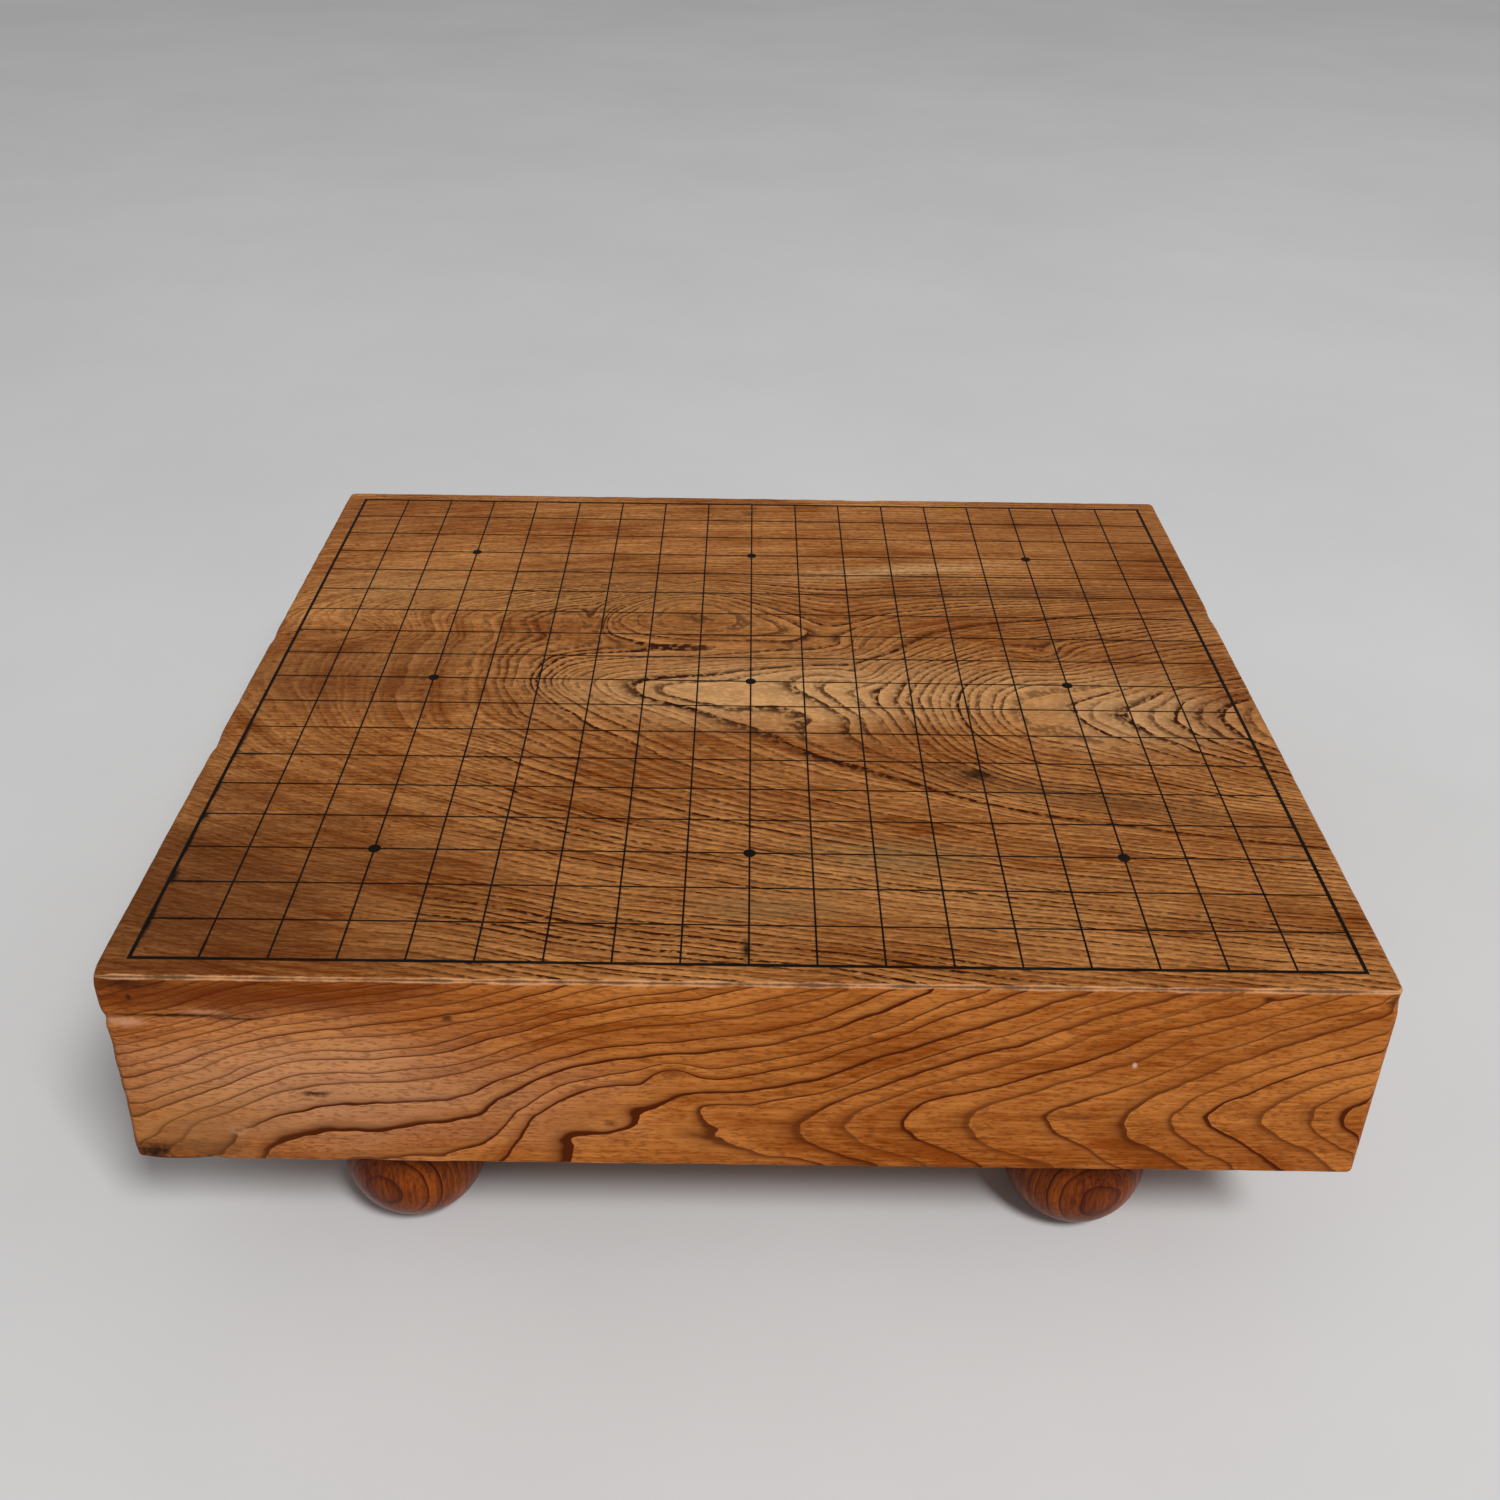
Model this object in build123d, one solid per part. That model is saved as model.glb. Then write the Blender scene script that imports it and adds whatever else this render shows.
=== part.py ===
from build123d import *
import os
from math import sqrt

# Floor-standing weiqi board: one thick zelkova block with a 19 x 19 lacquered grid, on four turned feet
# that plug into the underside. Millimetres, +Z up, +X along the block's length, players sit at -Y and +Y.
# The origin is on the floor under the middle of the block.

# Playing grid
lines_each_way = 19
star_line = 4               # star points lie on the 4th line from each edge, and on the middle line
pitch_x = 23.7              # between lines, along the block's length
pitch_y = 22.0              # between lines, across it
margin_x = 10.7             # bare wood from the border line's middle to the end face
margin_y = 10.0             # the same, to the long face

# Block
block_thickness = 87.0
corner_radius = 3.0         # upright corners
top_edge_radius = 1.6       # hand-worn edge of the playing surface
bottom_edge_radius = 1.2

# Lacquer, drawn on the wood as a raised film
film_thickness = 0.2
border_width = 1.3
line_width_down = 0.65      # lines that run across the block, along Y
line_width_across = 0.6     # lines that run along the block, along X
star_radius = 2.4

# Feet: a ball with a small flat under it, a neck that flares to the shoulder, and a round tenon, turned in one
foot_height = 60.0          # floor to the underside of the block
foot_inset_x = 92.0         # foot's axis to the end face
foot_inset_y = 44.0         # foot's axis to the long face
ball_radius = 28.25
foot_flat_radius = 12.0
neck_radius = 15.5          # where the neck leaves the ball
shoulder_radius = 19.5      # where the neck meets the underside
shoulder_rim = 2.0          # straight rim of the shoulder, above the flare
tenon_radius = 15.0
tenon_length = 28.0
tenon_tip_chamfer = 1.5

# Mortises in the underside, one for each tenon
tenon_clearance = 0.05      # radial running fit, so that a foot pulls out by hand
mortise_end_space = 2.0     # left free above the tenon's tip
mortise_mouth_chamfer = 1.0

# Square hollow in the middle of the underside, with a low pyramid left standing in it
hollow_side = 84.0
hollow_depth = 24.0
pyramid_sink = 3.0          # the pyramid's top stays this far inside the underside
pyramid_top_side = 5.0
pyramid_foot_gap = 1.5      # flat strip between the pyramid's foot and the hollow's walls

# Sizes that follow
grid_x = (lines_each_way - 1) * pitch_x
grid_y = (lines_each_way - 1) * pitch_y
block_length = grid_x + 2 * margin_x
block_width = grid_y + 2 * margin_y
underside = foot_height
playing_surface = foot_height + block_thickness
foot_x = block_length / 2 - foot_inset_x
foot_y = block_width / 2 - foot_inset_y
mortise_radius = tenon_radius + tenon_clearance
mortise_depth = tenon_length + mortise_end_space
half_lines = (lines_each_way - 1) // 2
star_step = half_lines - (star_line - 1)


def foot_places() -> dict[str, tuple[float, float]]:
    """Name and place of each foot's axis, seen from the player at -Y."""
    return {
        "foot_front_left": (-foot_x, -foot_y),
        "foot_front_right": (foot_x, -foot_y),
        "foot_back_left": (-foot_x, foot_y),
        "foot_back_right": (foot_x, foot_y),
    }


def block_blank() -> Part:
    """The sawn block with its upright corners rounded and its top and bottom edges eased."""
    outline = RectangleRounded(block_length, block_width, corner_radius)
    blank = Pos(0, 0, underside) * extrude(outline, block_thickness)
    blank = fillet(blank.edges().group_by(Axis.Z)[-1], top_edge_radius)
    return fillet(blank.edges().group_by(Axis.Z)[0], bottom_edge_radius)


def mortise() -> Part:
    """Blind round hole with an eased mouth, opening downwards at z = 0, standing on its own axis."""
    hole = Cylinder(mortise_radius, mortise_depth, align=(Align.CENTER, Align.CENTER, Align.MIN))
    mouth = Cone(
        mortise_radius + mortise_mouth_chamfer,
        mortise_radius,
        mortise_mouth_chamfer,
        align=(Align.CENTER, Align.CENTER, Align.MIN),
    )
    return hole + mouth


def underside_hollow() -> Part:
    """Square hollow opening downwards at z = 0, less the pyramid that stands in it."""
    recess = Box(hollow_side, hollow_side, hollow_depth, align=(Align.CENTER, Align.CENTER, Align.MIN))
    pyramid_base = hollow_side - 2 * pyramid_foot_gap
    sections = Sketch() + [
        Pos(0, 0, pyramid_sink) * Rectangle(pyramid_top_side, pyramid_top_side),
        Pos(0, 0, hollow_depth) * Rectangle(pyramid_base, pyramid_base),
    ]
    pyramid = loft(sections.faces(), ruled=True)
    return recess - pyramid


def board_block() -> Part:
    """The whole block, cut for its four feet and hollowed in the middle."""
    hole = mortise()
    cuts = [Pos(x, y, underside) * hole for x, y in foot_places().values()]
    return block_blank() - cuts - Pos(0, 0, underside) * underside_hollow()


def star_places() -> list[tuple[float, float]]:
    """Middles of the nine star points."""
    steps = (-star_step, 0, star_step)
    return [(i * pitch_x, j * pitch_y) for i in steps for j in steps]


def on_surface(drawing: Sketch) -> Part:
    """Raises a flat drawing into a lacquer film on the playing surface."""
    return Pos(0, 0, playing_surface) * extrude(drawing, film_thickness)


def border_line() -> Part:
    """The wider line round the grid."""
    outer = Rectangle(grid_x + border_width, grid_y + border_width)
    return on_surface(outer - Rectangle(grid_x - border_width, grid_y - border_width))


def grid_lines() -> Part:
    """All lines inside the border as one film, ending at the border and left open under the star points."""
    inside = range(-half_lines + 1, half_lines)
    down = Rectangle(line_width_down, grid_y - border_width)
    across = Rectangle(grid_x - border_width, line_width_across)
    drawing = Sketch() + [Pos(i * pitch_x, 0) * down for i in inside]
    drawing += [Pos(0, j * pitch_y) * across for j in inside]
    return on_surface(drawing - [Pos(x, y) * Circle(star_radius) for x, y in star_places()])


def star_points() -> Compound:
    """Nine round dots of lacquer."""
    dot = on_surface(Sketch() + Circle(star_radius))
    return Compound(children=[Pos(x, y, 0) * dot for x, y in star_places()])


def foot() -> Part:
    """One turned foot on its own axis, its flat on the floor at z = 0 and its tenon above the shoulder."""
    ball_middle = sqrt(ball_radius**2 - foot_flat_radius**2)
    ball_meets_neck = ball_middle + sqrt(ball_radius**2 - neck_radius**2)
    tenon_top = foot_height + tenon_length
    ball = ThreePointArc(
        (foot_flat_radius, 0), (ball_radius, ball_middle), (neck_radius, ball_meets_neck)
    )
    rest = Polyline(
        (neck_radius, ball_meets_neck),
        (shoulder_radius, foot_height - shoulder_rim),
        (shoulder_radius, foot_height),
        (tenon_radius, foot_height),
        (tenon_radius, tenon_top - tenon_tip_chamfer),
        (tenon_radius - tenon_tip_chamfer, tenon_top),
        (0, tenon_top),
        (0, 0),
        (foot_flat_radius, 0),
    )
    return revolve(Plane.XZ * make_face(ball + rest), Axis.Z)


def main() -> None:
    """Writes one file for each piece."""
    os.makedirs("parts", exist_ok=True)
    pieces = {
        "board_block": board_block(),
        "border_line": border_line(),
        "grid_lines": grid_lines(),
        "star_points": star_points(),
    }
    turned = foot()
    for name, (x, y) in foot_places().items():
        pieces[name] = Pos(x, y, 0) * turned
    for name, shape in pieces.items():
        export_step(shape, f"parts/{name}.step")
        print(name, "volume", round(shape.volume / 1000, 2), "cm3")


main()
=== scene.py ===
"""Looks of a floor-standing weiqi board: one old zelkova block with a lacquered grid, on four turned feet.

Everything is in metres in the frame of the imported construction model: +Z up, +X along the block, the floor at
z = 0 under the middle of the block. The wood patterns are worked out in millimetres from the middle of the
playing surface.
"""
import logging
import math
from collections.abc import Callable
from dataclasses import dataclass
from enum import Enum

import bmesh
import bpy
from mathutils import Matrix, Vector, noise


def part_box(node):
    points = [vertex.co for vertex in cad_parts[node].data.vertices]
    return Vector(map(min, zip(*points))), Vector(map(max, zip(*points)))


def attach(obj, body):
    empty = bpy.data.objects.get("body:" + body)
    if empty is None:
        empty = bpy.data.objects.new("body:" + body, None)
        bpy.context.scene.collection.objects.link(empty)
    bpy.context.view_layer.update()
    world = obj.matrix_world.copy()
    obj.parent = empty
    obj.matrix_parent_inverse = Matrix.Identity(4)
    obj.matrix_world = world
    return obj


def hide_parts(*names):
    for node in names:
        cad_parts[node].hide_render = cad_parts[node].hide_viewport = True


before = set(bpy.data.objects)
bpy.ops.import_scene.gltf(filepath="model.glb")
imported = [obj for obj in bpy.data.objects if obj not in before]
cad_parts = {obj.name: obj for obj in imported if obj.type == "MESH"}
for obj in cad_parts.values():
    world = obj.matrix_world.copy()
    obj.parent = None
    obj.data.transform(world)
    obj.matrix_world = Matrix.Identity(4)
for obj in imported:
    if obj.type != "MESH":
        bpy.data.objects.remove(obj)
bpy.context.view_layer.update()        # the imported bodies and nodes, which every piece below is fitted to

MM = 0.001
AXES = ((1, 0, 0), (0, 1, 0), (0, 0, 1))
BLOCK_LOW, BLOCK_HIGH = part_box("board_block")
TOP = BLOCK_HIGH.z              # height of the playing surface
UNDERSIDE = BLOCK_LOW.z
MIX_A, MIX_B, MIX_COLOUR = 6, 7, 2      # the colour sockets of a Mix node
RUB_AND_HIGHLIGHT = "rubbed"       # the block's attribute: 1 on an edge that hands have rubbed, 0 on a flat face; more on the upper front edge, as a painted highlight
SAME = 1e-6             # metres, between places that are one
CREASE = math.radians(35)       # faces that meet at less are shaded as one

log = logging.getLogger("weiqi_board")

Socket = bpy.types.NodeSocket
Tree = bpy.types.NodeTree
Vector3 = tuple[float, float, float]


def linear(code: str) -> tuple[float, float, float, float]:
    """Turns an sRGB hex colour into linear light.

    Args:
        code: six hex digits, with or without a leading #.

    Returns:
        Red, green, blue and a full alpha.
    """
    channels = [int(code.lstrip("#")[i:i + 2], 16) / 255 for i in (0, 2, 4)]
    light = [c / 12.92 if c <= 0.04045 else ((c + 0.055) / 1.055) ** 2.4 for c in channels]
    return (light[0], light[1], light[2], 1.0)


def add(tree: Tree, kind: str, inputs: dict | None = None, out: int | str | None = 0,
        stops: list[tuple[float, tuple]] | None = None, **settings) -> Socket | None:
    """Adds one node with its settings and links.

    Args:
        tree: the material's node tree.
        kind: the node's type name, after ShaderNode.
        inputs: a number, colour or other node's output for each input, by name or place.
        out: which output to give back, or None for a node that has none.
        stops: positions and colours, for a colour ramp.
        **settings: the node's own properties.

    Returns:
        The chosen output of the new node, if any.
    """
    node = tree.nodes.new("ShaderNode" + kind)
    for name, value in settings.items():
        setattr(node, name, value)
    for key, value in (inputs or {}).items():
        if isinstance(value, Socket):
            tree.links.new(value, node.inputs[key])
        else:
            node.inputs[key].default_value = value
    if stops:
        elements = node.color_ramp.elements
        while len(elements) < len(stops):
            elements.new(1.0)
        for element, (position, colour) in zip(elements, stops):
            element.position = position
            element.color = colour
    return None if out is None else node.outputs[out]


def new_material(name: str) -> tuple[bpy.types.Material, Tree]:
    """Makes an empty node material.

    Args:
        name: the real material's name.

    Returns:
        The material and its node tree.
    """
    material = bpy.data.materials.new(name)
    material.use_nodes = True
    material.node_tree.nodes.clear()
    return material, material.node_tree


def own_place(tree: Tree, place: Socket, at: Vector3, reach: Vector3, turn: float) -> Socket:
    """Where a place is in a feature's own measure: nought at its middle, one at its reach.

    It is made of vector sums, because Cycles has room for more of them in one material than of Mapping
    nodes.

    Args:
        tree: the material's node tree.
        place: millimetres from the middle of the playing surface.
        at: the feature's middle.
        reach: its three half sizes.
        turn: degrees about the upright axis.

    Returns:
        The place in the feature's own measure.
    """
    off = add(tree, "VectorMath", {0: place, 1: at}, operation="SUBTRACT")
    if turn:
        angle = math.radians(turn)
        turned = ((math.cos(angle), math.sin(angle), 0), (-math.sin(angle), math.cos(angle), 0), AXES[2])
        off = add(tree, "CombineXYZ", {
            i: add(tree, "VectorMath", {0: off, 1: turned[i]}, "Value", operation="DOT_PRODUCT")
            for i in range(3)
        })
    return add(tree, "VectorMath", {0: off, 1: reach}, operation="DIVIDE")


def greys(levels: tuple[tuple[float, float], ...]) -> list[tuple[float, tuple]]:
    """The stops of a neutral colour ramp, from positions and levels."""
    return [(position, (level, level, level, 1.0)) for position, level in levels]


@dataclass(frozen=True)
class Swell:
    """A place where the trunk bulged or dipped, so that the saw laid nested rings open there.

    Places are millimetres from the middle of the playing surface.
    """

    at: Vector3
    reach: Vector3
    rings: float = 0.0                      # how many rings high, at its middle
    lean: tuple[float, float] = (0.0, 0.0)  # rings gained along its own two level axes
    turn: float = 0.0                       # degrees about the upright axis
    steep: float = 1.0                      # above 1, a flatter middle and steeper sides
    rise: tuple[float, float] | None = None     # where along X it begins and where it is full

    def height(self, tree: Tree, place: Socket) -> Socket:
        """Rings that this swell adds at a place.

        Args:
            tree: the material's node tree.
            place: millimetres from the middle of the playing surface.

        Returns:
            The number of rings.
        """
        own = own_place(tree, place, self.at, self.reach, self.turn)
        square = add(tree, "VectorMath", {0: own, 1: own}, "Value", operation="DOT_PRODUCT")
        if self.steep != 1.0:
            square = add(tree, "Math", {0: square, 1: self.steep}, operation="POWER")
        fall = add(tree, "Math", {0: square, 1: -1.0}, operation="MULTIPLY")
        bell = add(tree, "Math", {0: math.e, 1: fall}, operation="POWER")
        if self.rise:
            along = add(tree, "VectorMath", {0: place, 1: AXES[0]}, "Value", operation="DOT_PRODUCT")
            begun = add(tree, "MapRange", {
                "Value": along, "From Min": self.rise[0], "From Max": self.rise[1],
            }, interpolation_type="SMOOTHSTEP")
            bell = add(tree, "Math", {0: bell, 1: begun}, operation="MULTIPLY")
        if self.lean == (0.0, 0.0):
            return add(tree, "Math", {0: bell, 1: self.rings}, operation="MULTIPLY")
        tilt = add(tree, "VectorMath", {0: own, 1: (*self.lean, 0.0)}, "Value", operation="DOT_PRODUCT")
        crest = add(tree, "Math", {0: tilt, 1: self.rings}, operation="ADD")
        return add(tree, "Math", {0: bell, 1: crest}, operation="MULTIPLY")


ALL_ALONG = 9000.0      # mm, a reach so long that the swell runs the whole length of the block
TOP_SWELLS = (
    # the nested arrow shapes on the right
    Swell((0, -24, 0), (ALL_ALONG, 66, 60), rings=-9.5, rise=(58, 128)),
    Swell((0, -16, 0), (ALL_ALONG, 75, 60), rings=-7, rise=(135, 270)),
    Swell((0, 62, 0), (ALL_ALONG, 34, 60), rings=-7, rise=(70, 250)),
    Swell((0, -84, 0), (ALL_ALONG, 34, 60), rings=-4, rise=(110, 260)),
    Swell((136, 26, 0), (15, 11, 35), rings=2.8),
    Swell((135, -32, 0), (16, 14, 35), rings=1.2),
    # the long open island in the middle
    Swell((50, 8, 0), (12, 9, 35), rings=1.8),
    Swell((-56, -4, 0), (46, 20, 40), rings=-3.2, turn=-12),
    Swell((30, -28, 0), (36, 20, 40), rings=2.4, turn=-20),
    Swell((-10, -12, 0), (34, 14, 40), rings=-0.45),
    Swell((-150, -46, 0), (46, 30, 30), rings=-1.6),
    # the lobes beyond it on the left, and the ridge between
    Swell((-95, 76, 0), (112, 34, 60), rings=-5.5, steep=1.6),
    Swell((-30, 82, 0), (30, 34, 40), rings=-4.0),
    Swell((-40, 30, 0), (85, 15, 50), rings=2.5, lean=(5.5, 0)),
    Swell((40, 56, 0), (22, 40, 40), rings=2.6),
    Swell((-76, 58, 0), (8, 14, 30), rings=2.0),
    Swell((-34, 96, 0), (10, 9, 30), rings=2.6),
    Swell((-178, 44, 0), (22, 12, 30), rings=2.4),
    Swell((-12, 44, 0), (34, 8, 40), rings=-0.3),
    Swell((38, 38, 0), (14, 10, 40), rings=0.35),
)
FRONT_SWELLS = (
    # the arrow shapes on the right
    Swell((205, -208, -58), (70, 70, 20), rings=-2.5),
    Swell((110, -208, -62), (110, 60, 24), rings=-1.0, lean=(3.6, 0)),
    # two broad plain places with few lines
    Swell((0, -208, -50), (ALL_ALONG, 60, 90), rings=3.9, rise=(-178, -88)),
    Swell((0, -208, -50), (ALL_ALONG, 60, 90), rings=4.4, rise=(-75, 32)),
    # the hooks of the lines round three knots
    Swell((-27, -208, -42), (9, 20, 6), rings=-0.9),
    Swell((-48, -208, -66), (10, 20, 6), rings=0.6),
    Swell((-14, -208, -56), (12, 20, 8), rings=-0.8),
)


@dataclass(frozen=True)
class Growth:
    """How the tree grew round its pith, which runs roughly along X and dips to the left."""

    ring_width: float = 2.9         # mm
    oval: float = 1.5               # rings are this much tighter upwards than sideways
    pith_y: float = -13.0           # mm, at the middle
    pith_skew: float = -0.10        # mm across for each mm along
    pith_z: float = -58.0           # mm below the playing surface, on the right
    pith_dip: float = 0.075         # mm down for each mm, twice over past the bend
    bend_at: float = 60.0           # mm along, where the pith bends
    bend_reach: float = 60.0        # mm, how gently
    taper: float = 0.02             # rings lost for each mm along
    good_years: float = 0.6         # how much the rings of good and bad years differ in width
    swells: tuple[Swell, ...] = ()
    # size in mm, stretch along the grain, height in rings
    waves: tuple[tuple[float, float, float], ...] = ((26.0, 1.6, 1.2), (8.0, 1.8, 0.3), (2.6, 2.5, 0.06))

    def rings(self, tree: Tree, place: Socket) -> Socket:
        """Counts the rings from the pith to a place.

        Args:
            tree: the material's node tree.
            place: millimetres from the middle of the playing surface.

        Returns:
            The ring count, whose whole numbers are the dark lines.
        """
        x, y, z = (add(tree, "VectorMath", {0: place, 1: axis}, "Value", operation="DOT_PRODUCT")
                   for axis in AXES)
        pith_y = add(tree, "Math", {0: x, 1: self.pith_skew, 2: self.pith_y}, operation="MULTIPLY_ADD")
        past = add(tree, "Math", {0: x, 1: self.bend_at}, operation="SUBTRACT")
        pair = add(tree, "CombineXYZ", {0: past, 1: self.bend_reach})
        round_off = add(tree, "VectorMath", {0: pair}, "Value", operation="LENGTH")
        bent = add(tree, "Math", {0: past, 1: round_off}, operation="SUBTRACT")
        pith_z = add(tree, "Math", {0: bent, 1: self.pith_dip, 2: self.pith_z}, operation="MULTIPLY_ADD")
        across = add(tree, "Math", {0: y, 1: pith_y}, operation="SUBTRACT")
        up = add(tree, "Math", {0: z, 1: pith_z}, operation="SUBTRACT")
        tight = add(tree, "Math", {0: up, 1: self.oval}, operation="MULTIPLY")
        flat = add(tree, "CombineXYZ", {0: across, 1: tight})
        radius = add(tree, "VectorMath", {0: flat}, "Value", operation="LENGTH")
        count = add(tree, "Math", {0: radius, 1: self.ring_width}, operation="DIVIDE")
        count = add(tree, "Math", {0: x, 1: -self.taper, 2: count}, operation="MULTIPLY_ADD")
        for swell in self.swells:
            count = add(tree, "Math", {0: count, 1: swell.height(tree, place)}, operation="ADD")
        for size, stretch, height in self.waves:
            scaled = add(tree, "VectorMath", {0: place, 1: (1 / size / stretch, 1 / size, 1 / size)},
                         operation="MULTIPLY")
            wave = add(tree, "TexNoise", {"Vector": scaled, "Scale": 1.0, "Detail": 1.5})
            level = add(tree, "Math", {0: wave, 1: -0.5}, operation="ADD")
            count = add(tree, "Math", {0: level, 1: height, 2: count}, operation="MULTIPLY_ADD")
        weather = add(tree, "TexNoise", {"W": count, "Scale": 0.7, "Detail": 0.0}, noise_dimensions="1D")
        level = add(tree, "Math", {0: weather, 1: -0.5}, operation="ADD")
        return add(tree, "Math", {0: level, 1: self.good_years, 2: count}, operation="MULTIPLY_ADD")


@dataclass(frozen=True)
class Stain:
    """A local change of tone: a knot, smudge, water mark or rubbed place."""

    at: Vector3
    reach: Vector3
    colour: str
    strength: float
    turn: float = 0.0
    under: bool = False     # it is in the wood's own tone, below the year lines
    small: float = 36.0     # mm, the reach below which its edge is finely ragged
    outside: float = 1.6    # in its own reach, where it begins to show
    inside: float = 0.55    # and where it is whole

    def lay(self, tree: Tree, place: Socket, ragged: dict[bool, Socket], wood: Socket) -> Socket:
        """Lays the stain over a colour.

        Args:
            tree: the material's node tree.
            place: millimetres from the middle of the playing surface.
            ragged: unevenness for the edge of a small stain, under True, and of a wide one.
            wood: the colour below.

        Returns:
            The stained colour.
        """
        own = own_place(tree, place, self.at, self.reach, self.turn)
        far = add(tree, "VectorMath", {0: own}, "Value", operation="LENGTH")
        edge = add(tree, "Math", {0: far, 1: ragged[max(self.reach) < self.small]}, operation="ADD")
        cover = add(tree, "MapRange", {
            "Value": edge, "From Min": self.outside, "From Max": self.inside, "To Max": self.strength,
        }, interpolation_type="SMOOTHSTEP")
        return add(tree, "Mix", {0: cover, MIX_A: wood, MIX_B: linear(self.colour)}, MIX_COLOUR,
                   data_type="RGBA")


BLOCK_STAINS = (
    # paler and darker patches of the playing surface
    Stain((20, -8, 0), (150, 42, 30), "#ECB87C", 0.68, under=True),
    Stain((165, -22, 0), (64, 50, 30), "#E4B27A", 0.65, under=True),
    Stain((60, -160, 0), (190, 40, 30), "#C68E54", 0.30, under=True),
    Stain((-75, 80, 0), (110, 34, 30), "#C48C50", 0.45, under=True),
    Stain((-215, -165, 0), (150, 120, 20), "#4A2008", 0.76),
    Stain((-195, 0, 0), (92, 60, 20), "#5A2C10", 0.55),
    Stain((-190, 175, 0), (110, 70, 20), "#6E3A16", 0.34),
    Stain((190, 175, 0), (110, 70, 20), "#6E3A16", 0.36),
    Stain((-212.9, -178, 0), (1.8, 17, 6), "#0C0A08", 0.95),
    Stain((-212.5, -151, 0), (2.5, 8, 6), "#0C0A08", 0.95),
    Stain((-213.0, -130, 0), (1.4, 14, 6), "#0C0A08", 0.9),
    Stain((-212.4, -111, 0), (2.6, 6, 6), "#0C0A08", 0.9),
    Stain((-213.0, -92, 0), (1.6, 10, 6), "#0C0A08", 0.9),
    Stain((-212.8, -56, 0), (1.6, 22, 6), "#0C0A08", 0.8),
    Stain((-200, -176, 0), (15, 1.2, 6), "#0C0A08", 0.85),
    Stain((-204, -154, 0), (12, 1.1, 6), "#0C0A08", 0.8),
    Stain((-206, -66, 0), (8, 2.0, 6), "#0C0A08", 0.9),
    Stain((-189.6, -192, 0), (1.1, 7, 6), "#0C0A08", 0.8),
    Stain((190, 60, 0), (70, 120, 20), "#6E3E1A", 0.20),
    Stain((60, -45, 0), (44, 16, 8), "#8A5426", 0.30, under=True),
    Stain((145, -94, 0), (95, 12, 6), "#4E2C14", 0.5, turn=-13),
    Stain((125, 92, 0), (110, 10, 6), "#5E3515", 0.45, turn=2, under=True),
    Stain((75, 116, 0), (95, 10, 6), "#DDAC74", 0.6, turn=9, under=True),
    Stain((-175, 90, 0), (55, 32, 6), "#C9955C", 0.45, under=True),
    Stain((-140, 30, 0), (34, 20, 6), "#5A2E10", 0.40),
    Stain((93, -75, 0), (12, 6, 6), "#24120A", 0.95),
    Stain((82, -70, 0), (14, 4, 6), "#4A2810", 0.6),
    Stain((178, -92, 0), (4, 2.5, 6), "#3A1E0C", 0.8),
    Stain((-2, 186, 0), (6, 4, 6), "#442612", 0.6),
    Stain((143, 174, 0), (6, 3, 6), "#442612", 0.4),
    Stain((-52, -70, 0), (9, 3, 6), "#4E3A20", 0.5),
    Stain((52, -132, 0), (46, 15, 6), "#6A5A3A", 0.40, turn=-4),
    Stain((6, -166, 0), (36, 10, 6), "#645436", 0.36),
    Stain((-1, -190, 0), (2.2, 8, 6), "#0C0A08", 0.95),
    # the front face: paler left end, knots, a bark pocket, a dent, a crack and dirty corners
    Stain((-150, -208, -52), (120, 30, 44), "#D0A07A", 0.42, under=True),
    Stain((-180, -208, -7), (90, 20, 10), "#632606", 0.62),
    Stain((-200, -208, -68), (44, 14, 24), "#94683C", 0.45),
    Stain((-200, -208, -80), (26, 14, 6), "#54381F", 0.45),
    Stain((-104, -208, -17), (2.6, 6, 2.4), "#3E2814", 0.9),
    Stain((-154, -208, -53.5), (8, 8, 1.8), "#20140A", 0.92),
    Stain((-184, -208, -72), (4.6, 6, 2.8), "#D2A27A", 0.55),
    Stain((-184, -208, -72), (3.4, 6, 1.8), "#8A5226", 0.9),
    Stain((-26, -208, -41), (6, 8, 3), "#5E2C0E", 0.6),
    Stain((-49, -208, -66), (4, 8, 2.4), "#4E230A", 0.7),
    Stain((118, -208, -60), (14, 8, 3), "#5A2A10", 0.5),
    Stain((136, -208, -35), (1.2, 6, 1.8), "#E2B49A", 0.9),
    Stain((-216, -208, -20.5), (10, 12, 3.2), "#C8906E", 0.75),
    Stain((-188, -208, -15.5), (11, 12, 1.7), "#BE8660", 0.65),
    Stain((-200, -208, -17.2), (32, 12, 1.1), "#180C06", 0.95),
    Stain((-176, -208, -18.4), (12, 12, 1.0), "#20110A", 0.9),
    Stain((-217, -210, -83), (12, 14, 6), "#160E08", 0.95),
    Stain((-204, -208, -87), (30, 14, 2.4), "#160E08", 0.85),
    Stain((-146, -208, -87), (16, 14, 1.6), "#1E120A", 0.8),
    Stain((-224, -208, -52), (3.4, 8, 40), "#2A170B", 0.7),
    Stain((-212, -208, -3), (16, 8, 3.2), "#2A170B", 0.7),
    Stain((-212, -208, -9), (1.4, 6, 2.0), "#1E1008", 0.8),
    Stain((221, -209, -5), (3.2, 6, 4.4), "#1A100A", 0.95),
    Stain((178, -208, -4), (3.4, 6, 1.4), "#2A170B", 0.8),
    Stain((140, -208, -1), (2.4, 4, 1.6), "#3A2010", 0.8),
)


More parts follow.
